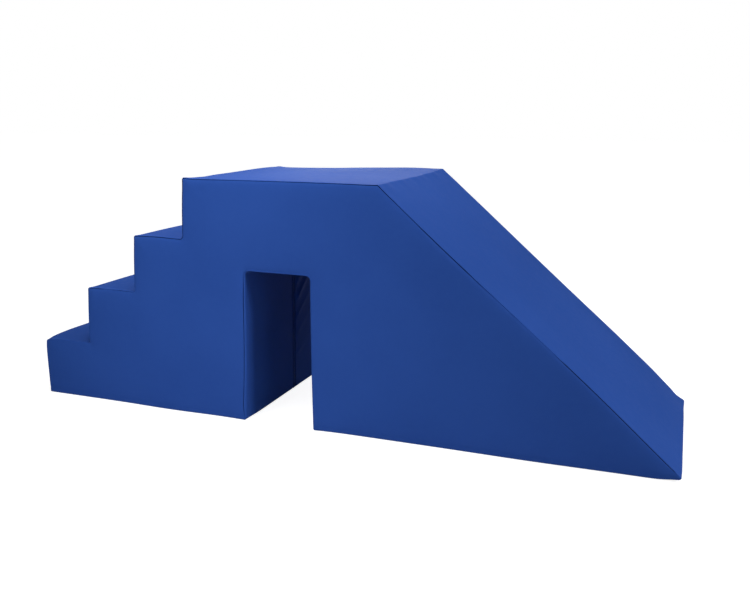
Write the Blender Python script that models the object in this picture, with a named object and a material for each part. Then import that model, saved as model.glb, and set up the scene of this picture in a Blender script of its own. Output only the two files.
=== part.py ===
"""Soft play stairs with a slide: a foam core in a zipped cover of coated fabric.

Three steps and a platform rise from -X, a straight slide runs down to +X, and a tunnel goes through
the body along Y. Units are metres, +Z is up, and the origin is under the middle of the body, on the
floor. The near side is at -Y.

The body is an outline in the XZ plane, walked clockwise as seen from the near side. A station on it
is a number: station 3 is the middle of corner 3's arc, corner 3's arc runs from 2.75 to 3.25, and
the straight after it from 3.25 to 3.75. Every piece of the cover and of the zip is a cross section
in (y, depth), where depth is measured inwards from the outline, swept along a range of stations.
"""

import math

import bmesh
import bpy
from mathutils import Matrix, Vector

# Driving dimensions
LENGTH = 2.20
WIDTH = 0.715
HEIGHT = 0.80
STEP_RISE = 0.20
STEP_RUN = 0.2025
STEP_COUNT = 3
PLATFORM_LENGTH = 0.68
TOE_HEIGHT = 0.012
TUNNEL_TOP_WIDTH = 0.232
TUNNEL_BOTTOM_WIDTH = 0.252
TUNNEL_HEIGHT = 0.508
TUNNEL_END = 1.066

# The stuffed cover's form: how far the middle of a tread, riser or slide stands proud of its seams
# and folds, how far the upper risers' nosings and feet are pulled apart by their lean, and how far
# a tread climbs to its inner corner
CROWN = 0.003
RISER_LEAN = 0.006
TREAD_CLIMB = 0.004

# Radii of the outline's corners, and of the long edges where a side panel meets the strips
NOSING_RADIUS = 0.008
INNER_RADIUS = 0.010
CREST_RADIUS = 0.012
TOE_RADIUS = 0.006
BASE_RADIUS = 0.005
TUNNEL_RADIUS = 0.018
EDGE_RADIUS = 0.006
EDGE_STEPS = 3
SMOOTH_ANGLE = 32.0

# Where the long seams lie on the rounded edge: 0 is on the side panel, 90 on the strips
SEAM_ANGLE = 45.0

# Cover and foam
GAP = 0.0003
FABRIC = 0.0010
SLAB = 0.20
FOAM_DEPTH = FABRIC + GAP

# Zip: half widths across it, and depths under the cover's outer face
ZIP_OPENING = 0.012
HEM_WIDTH = 0.0085
HEM_THICKNESS = 0.0020
TAPE_REACH = 0.021
TAPE_THICKNESS = 0.0006
CHAIN_SLOT = 0.0008
CHAIN_REACH = 0.005
CHAIN_FACE = 0.0002
CHAIN_BACK = 0.0020
CHANNEL_REACH = 0.0225
CHANNEL_DEPTH = HEM_THICKNESS + GAP + TAPE_THICKNESS + GAP
CHANNEL_OVERRUN = 0.1
STOP_LENGTH = 0.005
STOP_REACH = 0.0056
ZIP_END_MARGIN = 0.030
TAPE_END_MARGIN = 0.020

# Sliders, in the slider's own frame: x out of the wall, y across the zip, z towards its wide end
SLIDER_LENGTH = 0.024
SLIDER_FRONT_REACH = 0.0072
SLIDER_TAIL_REACH = 0.0060
SLIDER_TOP = 0.0019
SLIDER_TOP_UNDERSIDE = 0.0003
SLIDER_BACK_FACE = -0.0032
SLIDER_BACK = -0.0046
SLIDER_MEETING_HEIGHT = 0.262
FLANGE_WIDTH = 0.0008
POST_HALF_WIDTH = 0.0005
PIVOT_HEIGHT = 0.0034
PIVOT_SETBACK = 0.002
BRIDGE_HALF_LENGTH = 0.005
BRIDGE_HALF_WIDTH = 0.0015
BRIDGE_WALL = 0.0015
BRIDGE_TOP = 0.0065
PLATE_CORNER = 0.003
WEDGE_SPAN = (0.3, 0.9)
FLANGE_SPAN = (-0.7, 0.6)
RUNWAY_REACH = 0.0085
RUNWAY_DEPTH = 0.0052
RUNWAY_BOTTOM = 0.025
RUNWAY_TOP = 0.480

# Pull tabs
TAB_LENGTH = 0.018
TAB_HALF_WIDTH = 0.0045
TAB_NECK_HALF_WIDTH = 0.0036
TAB_THICKNESS = 0.0016
TAB_WINDOW_HALF_WIDTH = 0.0020
TAB_WINDOW_LENGTH = 0.0073
TAB_HOLE_RADIUS = 0.0018
TAB_HOLE_STEPS = 16
TAB_CORNER = 0.002

FOOT_X = -LENGTH / 2 + CROWN
TOE_X = LENGTH / 2
TUNNEL_RIGHT_X = -LENGTH / 2 + TUNNEL_END
TUNNEL_LEFT_TOP_X = TUNNEL_RIGHT_X - TUNNEL_TOP_WIDTH
TUNNEL_LEFT_X = TUNNEL_RIGHT_X - TUNNEL_BOTTOM_WIDTH
SEAM_HALF_ANGLE = math.degrees(GAP / 2 / (EDGE_RADIUS - FABRIC))
OVERLAP = 0.0004
STATION_TOLERANCE = 1e-4


class Corner:
    """One corner of the outline, at the crossing of its two straights."""

    def __init__(self, x, z, radius, arc_steps=4):
        self.point = Vector((x, z))
        self.radius = radius
        self.arc_steps = arc_steps


def build_corners():
    """The outline's corners, from the foot of the stairs up, over, down and back along the floor."""
    corners = [Corner(FOOT_X, 0.0, BASE_RADIUS)]
    for step in range(STEP_COUNT):
        x = FOOT_X + step * STEP_RUN
        z = (step + 1) * STEP_RISE - CROWN
        lean = RISER_LEAN if step else 0.0
        corners.append(Corner(x + lean, z, NOSING_RADIUS))
        corners.append(Corner(x + STEP_RUN - RISER_LEAN, z + TREAD_CLIMB, INNER_RADIUS))
    top = HEIGHT - CROWN
    platform_x = FOOT_X + STEP_COUNT * STEP_RUN + RISER_LEAN
    corners.append(Corner(platform_x, top, NOSING_RADIUS))
    corners.append(Corner(platform_x + PLATFORM_LENGTH, top, CREST_RADIUS, arc_steps=6))
    corners.append(Corner(TOE_X, TOE_HEIGHT, TOE_RADIUS))
    corners.append(Corner(TOE_X, 0.0, BASE_RADIUS))
    corners.append(Corner(TUNNEL_RIGHT_X, 0.0, BASE_RADIUS))
    corners.append(Corner(TUNNEL_RIGHT_X, TUNNEL_HEIGHT, TUNNEL_RADIUS, arc_steps=6))
    corners.append(Corner(TUNNEL_LEFT_TOP_X, TUNNEL_HEIGHT, TUNNEL_RADIUS, arc_steps=6))
    corners.append(Corner(TUNNEL_LEFT_X, 0.0, BASE_RADIUS))
    return corners


CORNERS = build_corners()
COUNT = len(CORNERS)

# Stations of the seams, and of the corners that the pieces are named after
FOOT = 0
NOSINGS = [1, 3, 5, 7]
TOE_BOTTOM = 10
TUNNEL_RIGHT = 11
TUNNEL_LEFT = 14
LAST_CROWNED_STRAIGHT = 8
CROWNED_STEPS = 4


def direction(index):
    """Unit vector along the straight after a corner."""
    start = CORNERS[index % COUNT].point
    end = CORNERS[(index + 1) % COUNT].point
    return (end - start).normalized()


def outward(index):
    """Unit vector out of the body on the straight after a corner."""
    along = direction(index)
    return Vector((-along.y, along.x))


def corner_shape(index, depth):
    """Arc centre, signed radius and turn of a corner, on the outline at a depth."""
    corner = CORNERS[index % COUNT]
    before = outward(index - 1)
    after = outward(index)
    diagonal = (before + after) / (1.0 + before.dot(after))
    turn = before.angle_signed(after)
    convex = turn > 0.0
    radius = max(corner.radius - depth, GAP) if convex else corner.radius + depth
    signed_radius = radius if convex else -radius
    centre = corner.point - diagonal * (depth + signed_radius)
    return centre, signed_radius, turn


def arc_point(index, fraction, depth):
    """Point on a corner's arc, from its start at fraction 0 to its end at fraction 1."""
    centre, signed_radius, turn = corner_shape(index, depth)
    normal = Matrix.Rotation(-turn * fraction, 2) @ outward(index - 1)
    return centre + normal * signed_radius


def crown_at(index, fraction):
    """How far a straight bulges out at a fraction of its length."""
    if index % COUNT > LAST_CROWNED_STRAIGHT:
        return 0.0
    return CROWN * 4.0 * fraction * (1.0 - fraction)


def outline_point(station, depth):
    """Point of the outline at a station, moved inwards by a depth."""
    index = math.floor(station + 0.25)
    local = station - index
    if local <= 0.25:
        return arc_point(index, (local + 0.25) / 0.5, depth)
    fraction = (local - 0.25) / 0.5
    start = arc_point(index, 1.0, depth)
    end = arc_point(index + 1, 0.0, depth)
    return start.lerp(end, fraction) + outward(index) * crown_at(index, fraction)


def stations_between(start, end):
    """The stations from start to end that the outline's shape needs."""
    stations = []
    for index in range(math.floor(start), math.ceil(end) + 1):
        steps = CORNERS[index % COUNT].arc_steps
        for step in range(steps + 1):
            stations.append(index - 0.25 + 0.5 * step / steps)
        if index % COUNT <= LAST_CROWNED_STRAIGHT:
            for step in range(1, CROWNED_STEPS):
                stations.append(index + 0.25 + 0.5 * step / CROWNED_STEPS)
    low = start + STATION_TOLERANCE
    high = end - STATION_TOLERANCE
    return [start] + [value for value in stations if low < value < high] + [end]


def station_along(index, distance):
    """Station on the straight after a corner, at a distance from the corner's own point."""
    start = outline_point(index + 0.25, 0.0)
    end = outline_point(index + 0.75, 0.0)
    from_start = distance - (start - CORNERS[index % COUNT].point).length
    return index + 0.25 + 0.5 * from_start / (end - start).length


def seam_station(index, side):
    """Station of a seam's edge at the middle of a corner, half a gap before or after it."""
    arc_length = (outline_point(index + 0.25, 0.0) - outline_point(index - 0.25, 0.0)).length
    return index + side * 0.5 * (GAP / 2) / arc_length


def edge_arc(from_angle, to_angle, depth, side):
    """Part of the rounded long edge as (y, depth) points, at a depth under the outer face.

    Angle 0 is on the side face and angle 90 on the strips. Side is -1 for the near edge.
    """
    points = []
    radius = EDGE_RADIUS - depth
    for step in range(EDGE_STEPS + 1):
        angle = math.radians(from_angle + (to_angle - from_angle) * step / EDGE_STEPS)
        y = WIDTH / 2 - EDGE_RADIUS + radius * math.cos(angle)
        points.append((side * y, EDGE_RADIUS - radius * math.sin(angle)))
    return points


def material(name, colour, roughness, metallic=0.0):
    """A plain finish: colour as linear red, green and blue."""
    finish = bpy.data.materials.new(name)
    finish.use_nodes = True
    shader = finish.node_tree.nodes["Principled BSDF"]
    shader.inputs["Base Color"].default_value = (*colour, 1.0)
    shader.inputs["Roughness"].default_value = roughness
    shader.inputs["Metallic"].default_value = metallic
    return finish


def make_object(name, mesh_builder, finish=None):
    """Link a mesh under a name, its faces turned outwards and its round stretches shaded smooth."""
    bmesh.ops.recalc_face_normals(mesh_builder, faces=mesh_builder.faces)
    mesh = bpy.data.meshes.new(name)
    mesh_builder.to_mesh(mesh)
    mesh_builder.free()
    mesh.shade_smooth()
    mesh.set_sharp_from_angle(angle=math.radians(SMOOTH_ANGLE))
    item = bpy.data.objects.new(name, mesh)
    bpy.context.scene.collection.objects.link(item)
    if finish:
        mesh.materials.append(finish)
    return item


def make_helper(name, mesh_builder):
    """A shape that only cuts or joins another one."""
    item = make_object(name, mesh_builder)
    item.hide_render = True
    item.display_type = "WIRE"
    return item


def combine(item, helper, operation):
    """Cut an object by a helper, join them, or keep what they share."""
    modifier = item.modifiers.new(helper.name, "BOOLEAN")
    modifier.operation = operation
    modifier.object = helper


def section_loop(builder, section, station):
    """Vertices of a cross section at one station."""
    loop = []
    for y, depth in section:
        point = outline_point(station, depth)
        loop.append(builder.verts.new((point.x, y, point.y)))
    return loop


def join_loops(builder, first, second, closed):
    """Quads between two rows of vertices."""
    last = len(first) if closed else len(first) - 1
    for index in range(last):
        following = (index + 1) % len(first)
        builder.faces.new((first[index], first[following], second[following], second[index]))


def sweep(section, start, end):
    """A closed cross section, swept from one station to another and capped at both ends."""
    builder = bmesh.new()
    loops = [section_loop(builder, section, station) for station in stations_between(start, end)]
    for first, second in zip(loops, loops[1:]):
        join_loops(builder, first, second, closed=True)
    builder.faces.new(loops[0])
    builder.faces.new(loops[-1])
    return builder


def ring(section):
    """An open cross section swept round the whole outline, with a flat face at both its ends."""
    builder = bmesh.new()
    loops = [section_loop(builder, section, station) for station in stations_between(0, COUNT)[:-1]]
    for first, second in zip(loops, loops[1:] + loops[:1]):
        join_loops(builder, first, second, closed=False)
    builder.faces.new([loop[0] for loop in loops])
    builder.faces.new([loop[-1] for loop in loops])
    return builder


def box(low, high):
    """A mesh with one box between two corners."""
    builder = bmesh.new()
    bmesh.ops.create_cube(builder, size=1.0)
    size = Vector(high) - Vector(low)
    middle = (Vector(high) + Vector(low)) / 2
    bmesh.ops.scale(builder, vec=size, verts=builder.verts)
    bmesh.ops.translate(builder, vec=middle, verts=builder.verts)
    return builder


def plate(outline, near, far, axis):
    """A flat outline of two coordinates, extruded along X (axis 0) or Y (axis 1)."""
    builder = bmesh.new()
    rows = []
    for level in (near, far):
        if axis == 0:
            row = [builder.verts.new((level, first, second)) for first, second in outline]
        else:
            row = [builder.verts.new((first, level, second)) for first, second in outline]
        rows.append(row)
    join_loops(builder, rows[0], rows[1], closed=True)
    builder.faces.new(rows[0])
    builder.faces.new(rows[1])
    return builder


def full_strip_section():
    """A strip of cover fabric from one long edge to the other."""
    low = SEAM_ANGLE + SEAM_HALF_ANGLE
    outer = edge_arc(low, 90, 0.0, -1) + edge_arc(90, low, 0.0, 1)
    inner = edge_arc(low, 90, FABRIC, 1) + edge_arc(90, low, FABRIC, -1)
    return outer + inner


def half_strip_section(side):
    """A strip from one long edge to the zip, with its edge turned in along the zip."""
    low = SEAM_ANGLE + SEAM_HALF_ANGLE
    section = edge_arc(low, 90, 0.0, side)
    section.append((side * ZIP_OPENING, 0.0))
    section.append((side * ZIP_OPENING, HEM_THICKNESS))
    section.append((side * (ZIP_OPENING + HEM_WIDTH), HEM_THICKNESS))
    section.append((side * (ZIP_OPENING + HEM_WIDTH), FABRIC))
    section += edge_arc(90, low, FABRIC, side)
    return section


def rectangle_section(side, inner_y, outer_y, face, back):
    """A flat band between two distances from the zip's centre line."""
    return [(side * inner_y, face), (side * outer_y, face), (side * outer_y, back), (side * inner_y, back)]


def make_cover(fabric):
    """The sewn cover: side panels, strips, base panels and the tunnel's liner."""
    high = SEAM_ANGLE - SEAM_HALF_ANGLE
    for name, side in (("side_panel_near", -1), ("side_panel_far", 1)):
        outer = edge_arc(0, high, 0.0, side)
        inner = edge_arc(high, 0, FABRIC, side)
        make_object(name, ring(outer + inner), fabric)

    strips = [("riser_1_panel", FOOT, NOSINGS[0])]
    for step in range(1, STEP_COUNT + 1):
        strips.append((f"tread_{step}_riser_{step + 1}_panel", NOSINGS[step - 1], NOSINGS[step]))
    strips.append(("platform_slide_panel", NOSINGS[-1], TOE_BOTTOM))
    for name, start, end in strips:
        mesh = sweep(full_strip_section(), seam_station(start, 1), seam_station(end, -1))
        make_object(name, mesh, fabric)

    halves = [
        ("base_panel_slide", TOE_BOTTOM, TUNNEL_RIGHT),
        ("tunnel_liner", TUNNEL_RIGHT, TUNNEL_LEFT),
        ("base_panel_stairs", TUNNEL_LEFT, COUNT),
    ]
    for name, start, end in halves:
        for ending, side in (("near", -1), ("far", 1)):
            mesh = sweep(half_strip_section(side), seam_station(start, 1), seam_station(end, -1))
            make_object(f"{name}_{ending}", mesh, fabric)


def make_foam(foam):
    """The core, glued from slabs: a solid of the whole body, shared out by slab and cut for the zip."""
    section = edge_arc(0, 90, FOAM_DEPTH, -1) + edge_arc(90, 0, FOAM_DEPTH, 1)
    channel_section = [
        (-CHANNEL_REACH, -GAP), (CHANNEL_REACH, -GAP),
        (CHANNEL_REACH, CHANNEL_DEPTH), (-CHANNEL_REACH, CHANNEL_DEPTH),
    ]
    mesh = sweep(channel_section, TOE_BOTTOM - CHANNEL_OVERRUN, COUNT + CHANNEL_OVERRUN)
    channel = make_helper("channel_cutter", mesh)
    runway_low = (TUNNEL_RIGHT_X, -RUNWAY_REACH, RUNWAY_BOTTOM)
    runway_high = (TUNNEL_RIGHT_X + RUNWAY_DEPTH, RUNWAY_REACH, RUNWAY_TOP)
    runway = make_helper("runway_cutter", box(runway_low, runway_high))

    left = FOOT_X - SLAB
    right = TOE_X + SLAB
    middle_low = TUNNEL_LEFT_TOP_X - FOAM_DEPTH
    middle_high = TUNNEL_RIGHT_X + FOAM_DEPTH
    glue_planes = [tier * SLAB + TREAD_CLIMB for tier in range(STEP_COUNT + 1)]
    glue_planes[0] = -SLAB
    blocks = [("foam_platform", left, right, glue_planes[-1], HEIGHT + SLAB)]
    blocks.append(("foam_lintel", middle_low, middle_high, TUNNEL_HEIGHT / 2, glue_planes[-1]))
    for tier in range(STEP_COUNT):
        low, high = glue_planes[tier:tier + 2]
        blocks.append((f"foam_step_{tier + 1}", left, middle_low, low, high))
        blocks.append((f"foam_slide_tier_{tier + 1}", middle_high, right, low, high))
    for name, x_low, x_high, z_low, z_high in blocks:
        item = make_object(name, ring(section), foam)
        low = (x_low + GAP / 2, -WIDTH, z_low + GAP / 2)
        high = (x_high - GAP / 2, WIDTH, z_high - GAP / 2)
        combine(item, make_helper(f"{name}_bounds", box(low, high)), "INTERSECT")
        combine(item, channel, "DIFFERENCE")
        if name.startswith("foam_slide_tier"):
            combine(item, runway, "DIFFERENCE")


def make_zip(tape, chain, metal, fabric):
    """Tapes, coils, end stops and end tabs along the base and round the tunnel."""
    leg = TUNNEL_LEFT_X - FOOT_X
    stop_end = ZIP_END_MARGIN + GAP + STOP_LENGTH
    for ending, side in (("near", -1), ("far", 1)):
        section = rectangle_section(
            side, CHAIN_SLOT, TAPE_REACH, HEM_THICKNESS + GAP, HEM_THICKNESS + GAP + TAPE_THICKNESS
        )
        start = station_along(TOE_BOTTOM, TAPE_END_MARGIN)
        end = station_along(TUNNEL_LEFT, leg - TAPE_END_MARGIN)
        make_object(f"zip_tape_{ending}", sweep(section, start, end), tape)

        section = rectangle_section(side, CHAIN_SLOT, CHAIN_REACH, CHAIN_FACE, CHAIN_BACK)
        start = station_along(TOE_BOTTOM, stop_end + GAP)
        end = station_along(TUNNEL_LEFT, leg - stop_end - GAP)
        make_object(f"zip_coil_{ending}", sweep(section, start, end), chain)

    stop_section = [
        (-STOP_REACH, CHAIN_FACE), (STOP_REACH, CHAIN_FACE),
        (STOP_REACH, CHAIN_BACK), (-STOP_REACH, CHAIN_BACK),
    ]
    stop_start = ZIP_END_MARGIN + GAP
    start = station_along(TOE_BOTTOM, stop_start)
    end = station_along(TOE_BOTTOM, stop_end)
    make_object("zip_end_stop_slide", sweep(stop_section, start, end), metal)
    start = station_along(TUNNEL_LEFT, leg - stop_end)
    end = station_along(TUNNEL_LEFT, leg - stop_start)
    make_object("zip_end_stop_stairs", sweep(stop_section, start, end), metal)

    half = ZIP_OPENING - GAP
    tab_section = [(-half, 0.0), (half, 0.0), (half, FABRIC), (-half, FABRIC)]
    mesh = sweep(tab_section, seam_station(TOE_BOTTOM, 1), station_along(TOE_BOTTOM, ZIP_END_MARGIN))
    make_object("zip_end_tab_slide", mesh, fabric)
    mesh = sweep(tab_section, station_along(TUNNEL_LEFT, leg - ZIP_END_MARGIN), seam_station(COUNT, -1))
    make_object("zip_end_tab_stairs", mesh, fabric)


def slider_outline(front_reach, tail_reach, half_length):
    """Shield-shaped plate of a slider, with its wide end towards +z."""
    return [
        (-front_reach, half_length - PLATE_CORNER),
        (-front_reach + PLATE_CORNER, half_length),
        (front_reach - PLATE_CORNER, half_length),
        (front_reach, half_length - PLATE_CORNER),
        (tail_reach, -half_length + PLATE_CORNER),
        (tail_reach - PLATE_CORNER, -half_length),
        (-tail_reach + PLATE_CORNER, -half_length),
        (-tail_reach, -half_length + PLATE_CORNER),
    ]


def make_slider(name, height, rotation, metal):
    """One slider on the tunnel's right wall: two plates, a wedge between them, flanges and a bridge."""
    half = SLIDER_LENGTH / 2
    outline = slider_outline(SLIDER_FRONT_REACH, SLIDER_TAIL_REACH, half)
    body = make_object(name, plate(outline, SLIDER_TOP_UNDERSIDE, SLIDER_TOP, axis=0), metal)
    helpers = [("back", plate(outline, SLIDER_BACK, SLIDER_BACK_FACE, axis=0))]

    wedge_low = (SLIDER_BACK_FACE - OVERLAP, -POST_HALF_WIDTH, half * WEDGE_SPAN[0])
    wedge_high = (SLIDER_TOP_UNDERSIDE + OVERLAP, POST_HALF_WIDTH, half * WEDGE_SPAN[1])
    helpers.append(("wedge", box(wedge_low, wedge_high)))

    for side_name, side in (("left", -1), ("right", 1)):
        edges = sorted((side * (SLIDER_TAIL_REACH - FLANGE_WIDTH), side * SLIDER_TAIL_REACH))
        low = (-CHAIN_BACK, edges[0], half * FLANGE_SPAN[0])
        high = (SLIDER_TOP_UNDERSIDE + OVERLAP, edges[1], half * FLANGE_SPAN[1])
        helpers.append((f"flange_{side_name}", box(low, high)))

    bridge_inside = BRIDGE_HALF_LENGTH - BRIDGE_WALL
    bridge_foot = SLIDER_TOP - OVERLAP
    bridge_shoulder = BRIDGE_TOP - BRIDGE_WALL
    arch = [
        (bridge_foot, -BRIDGE_HALF_LENGTH),
        (bridge_shoulder, -BRIDGE_HALF_LENGTH),
        (BRIDGE_TOP, -bridge_inside),
        (BRIDGE_TOP, bridge_inside),
        (bridge_shoulder, BRIDGE_HALF_LENGTH),
        (bridge_foot, BRIDGE_HALF_LENGTH),
        (bridge_foot, bridge_inside),
        (bridge_shoulder, bridge_inside),
        (bridge_shoulder, -bridge_inside),
        (bridge_foot, -bridge_inside),
    ]
    arch = [(out, along - PIVOT_SETBACK) for out, along in arch]
    helpers.append(("bridge", plate(arch, -BRIDGE_HALF_WIDTH, BRIDGE_HALF_WIDTH, axis=1)))

    for part, mesh in helpers:
        helper = make_helper(f"{name}_{part}", mesh)
        helper.parent = body
        combine(body, helper, "UNION")
    body.location = (TUNNEL_RIGHT_X, 0.0, height)
    body.rotation_euler = rotation


def make_pull_tab(name, height, metal):
    """One pull tab, hanging down from its pivot, which is its origin."""
    bar = TAB_THICKNESS / 2
    shoulder = -bar - TAB_WINDOW_LENGTH
    outline = [
        (-TAB_NECK_HALF_WIDTH, bar),
        (TAB_NECK_HALF_WIDTH, bar),
        (TAB_NECK_HALF_WIDTH, shoulder),
        (TAB_HALF_WIDTH, shoulder - TAB_CORNER),
        (TAB_HALF_WIDTH, -TAB_LENGTH + TAB_CORNER),
        (TAB_HALF_WIDTH - TAB_CORNER, -TAB_LENGTH),
        (-TAB_HALF_WIDTH + TAB_CORNER, -TAB_LENGTH),
        (-TAB_HALF_WIDTH, -TAB_LENGTH + TAB_CORNER),
        (-TAB_HALF_WIDTH, shoulder - TAB_CORNER),
        (-TAB_NECK_HALF_WIDTH, shoulder),
    ]
    tab = make_object(name, plate(outline, -bar, bar, axis=0), metal)

    low = (-TAB_THICKNESS, -TAB_WINDOW_HALF_WIDTH, shoulder + TAB_CORNER / 2)
    high = (TAB_THICKNESS, TAB_WINDOW_HALF_WIDTH, -bar)
    window = make_helper(f"{name}_window", box(low, high))
    hole_mesh = bmesh.new()
    turn = Matrix.Rotation(math.radians(90), 4, "Y")
    middle = Matrix.Translation((0.0, 0.0, (shoulder - TAB_CORNER - TAB_LENGTH) / 2))
    bmesh.ops.create_cone(
        hole_mesh, cap_ends=True, segments=TAB_HOLE_STEPS, radius1=TAB_HOLE_RADIUS, radius2=TAB_HOLE_RADIUS,
        depth=TAB_THICKNESS * 2, matrix=middle @ turn,
    )
    hole = make_helper(f"{name}_hole", hole_mesh)
    for helper in (window, hole):
        helper.parent = tab
        combine(tab, helper, "DIFFERENCE")
    tab.location = (TUNNEL_RIGHT_X - PIVOT_HEIGHT, 0.0, height)


def make_sliders(metal):
    """Two sliders whose wide ends meet when the zip is closed, each with its pull tab."""
    from_meeting = SLIDER_LENGTH / 2 + GAP
    lower = SLIDER_MEETING_HEIGHT - from_meeting
    upper = SLIDER_MEETING_HEIGHT + from_meeting
    make_slider("zip_slider_lower", lower, (0.0, 0.0, math.pi), metal)
    make_slider("zip_slider_upper", upper, (0.0, math.pi, 0.0), metal)
    make_pull_tab("pull_tab_lower", lower - PIVOT_SETBACK, metal)
    make_pull_tab("pull_tab_upper", upper + PIVOT_SETBACK, metal)


def build():
    """Clear the scene and make every piece."""
    for item in list(bpy.data.objects):
        bpy.data.objects.remove(item)
    fabric = material("coated_fabric", (0.022, 0.066, 0.280), 0.45)
    foam = material("foam", (0.80, 0.74, 0.55), 0.95)
    tape = material("zip_tape", (0.010, 0.022, 0.085), 0.80)
    chain = material("zip_coil", (0.012, 0.025, 0.090), 0.40)
    metal = material("zip_metal", (0.55, 0.56, 0.58), 0.35, metallic=1.0)
    make_foam(foam)
    make_cover(fabric)
    make_zip(tape, chain, metal, fabric)
    make_sliders(metal)


build()
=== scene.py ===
"""Dresses the soft play stairs with a slide: a sewn cover of coated fabric over foam, and its zip.

The cover's form is an outline in the XZ plane, measured by the distance walked along it clockwise as
seen from the near side, and a rim section that turns from the strips round the long edges onto the
side panels. Every panel is a fine grid on that form. It sinks into its seams, is gathered along
them, stands proud between them, and is pulled about by a few soft pushes. Units are metres.
"""

import math

import bpy
import numpy as np
from mathutils import Matrix, Vector, noise
from mathutils.geometry import delaunay_2d_cdt


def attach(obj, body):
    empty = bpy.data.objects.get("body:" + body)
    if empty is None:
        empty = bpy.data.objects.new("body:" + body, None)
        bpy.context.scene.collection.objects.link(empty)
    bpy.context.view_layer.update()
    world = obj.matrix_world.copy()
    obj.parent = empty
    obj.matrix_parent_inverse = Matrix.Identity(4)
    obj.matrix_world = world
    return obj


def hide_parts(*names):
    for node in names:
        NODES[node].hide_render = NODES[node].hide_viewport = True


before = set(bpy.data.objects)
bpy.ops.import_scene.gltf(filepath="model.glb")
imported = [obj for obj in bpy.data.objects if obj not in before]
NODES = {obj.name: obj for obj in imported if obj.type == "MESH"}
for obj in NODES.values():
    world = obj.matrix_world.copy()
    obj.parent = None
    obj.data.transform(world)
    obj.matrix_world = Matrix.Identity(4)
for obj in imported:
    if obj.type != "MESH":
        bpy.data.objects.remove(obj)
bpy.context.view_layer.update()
FOAM = [name for name in NODES if name.startswith("foam_")]

# The cover's outer form
WIDTH = 0.7225
STRIP_EDGE_RADIUS = 0.0044
BASE_EDGE_RADIUS = 0.0028
RIGHT_JAMB_RADIUS = 0.0020
TUNNEL_TOP_RADIUS = 0.0035
LEFT_JAMB_RADIUS = 0.0070
LEFT_JAMB_LOW_RADIUS = 0.0085
LEFT_JAMB_FOOT_RADIUS = 0.0050
JAMB_SEAM_ANGLE = 4.0
BASE_SEAM_ANGLE = 80.0

# Corners of the outline as x, z and radius, from the foot of the stairs clockwise
CORNERS = [
    (-1.1003, -0.0006, 0.0045),
    (-1.1000, 0.1990, 0.0060),
    (-0.9061, 0.2060, 0.0100),
    (-0.8945, 0.4065, 0.0060),
    (-0.6986, 0.4100, 0.0100),
    (-0.6874, 0.6025, 0.0060),
    (-0.4962, 0.6065, 0.0100),
    (-0.4852, 0.8014, 0.0060),
    (0.1922, 0.8014, 0.0110),
    (1.1010, 0.0122, 0.0058),
    (1.1010, -0.0006, 0.0045),
    (-0.0340, -0.0006, 0.0045),
    (-0.0340, 0.5095, 0.0140),
    (-0.2653, 0.5114, 0.0150),
    (-0.2737, -0.0006, 0.0045),
]
FOOT, CREST, TOE_TOP, TOE_BOTTOM = 0, 8, 9, 10
NOSING_1, NOSING_2, NOSING_3, NOSING_4 = 1, 3, 5, 7
TUNNEL_RIGHT, TUNNEL_TOP_RIGHT, TUNNEL_TOP_LEFT, TUNNEL_LEFT = 11, 12, 13, 14
LAST_CROWNED = CREST

# How far the middle of a stretch stands proud, at the long edges and in the middle of the width
EDGE_CROWN = 0.0020
MIDDLE_CROWN = 0.0045
SIDE_CROWN = 0.0030
SIDE_CROWN_REACH = 0.060

# Seams: the two sides stand this far apart, their painted shade is pushed this far off where they are
# drawn flush, and they sink in and turn down between the pieces
SEAM_HALF_GAP = 0.00015
SEAM_SHADE_FADE = 0.0040
LIP_DEPTH = 0.0004
LIP_REACH = 0.0030
STRIP_PILLOW = 0.0003
SIDE_PILLOW = 0.0036
PILLOW_REACH = 0.0100
GATHER_DEPTH = 0.0005
GATHER_REACH = 0.011

# Rows beside a seam: how far off each is, and how deep the fabric turns down there. Where a seam is
# drawn flush, the outer rows close by this power
WALLS = [
    (SEAM_HALF_GAP, 0.0050), (0.0003, 0.0038), (0.0007, 0.0027),
    (0.0012, 0.0017), (0.0017, 0.0009), (0.0023, 0.00035),
]
LIP_ROWS = [0.0030, 0.0040, 0.0055, 0.0080, 0.0120, 0.0175]
EDGE_ROWS = [away for away, depth in WALLS] + LIP_ROWS
EDGE_REACH = LIP_ROWS[-1]
CLOSING = 2.5

# The grids' steps along and across the panels, and round an arc
ALONG = 0.0045
ALONG_LEAST = 0.0006
ACROSS = 0.0125
ARC_STEPS = 8

# Gathers along the seams, as wavelength and share. Lumps, as height and width, fade near the seams
RIPPLES = [(0.031, 0.30), (0.0173, 0.34), (0.0119, 0.22)]
STRIP_LUMPS = [(0.0011, 0.19), (0.00035, 0.045)]
HALF_LUMPS = [(0.0012, 0.17), (0.0003, 0.04)]
LINER_RISE = 0.05
SIDE_LUMPS = [(0.0013, 0.26), (0.00045, 0.055)]
DIMPLE_DEPTH = 0.00030
DIMPLE_WIDTH = 0.017
DIMPLE_RISE = (0.38, 0.75)
CALM_REACH = 0.05
CREST_WAVE = 0.0018
CREST_WAVE_REACH = 0.030

# The body thins to the toe between these places, and takes this much less of the seams' depth
TOE_THINNING = 0.62
TOE_THINS = (1.05, 1.09)

# The zip's opening, and the turned-in edges beside it: distance from the middle and depth of each row.
# Rows deeper than HEM_SHADE_DEPTH, on the fold and under it, are painted fully dark as a painted shadow
# along the fold, and the edge is stiff up to HEM_STIFF
ZIP_OPENING = 0.012
TURNED_IN = 0.015
HEM_ROWS = [
    (0.0190, 0.0), (0.0158, 0.0), (0.0138, 0.00002), (0.0128, 0.00014), (0.01235, 0.00042),
    (0.0121, 0.0009), (0.0122, 0.0014), (0.0127, 0.0018), (0.0142, 0.00195), (0.0185, 0.00195),
]
HEM_START = HEM_ROWS[0][0]
HEM_SHADE_DEPTH = 0.0008
HEM_STIFF = (0.026, 0.060)

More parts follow.
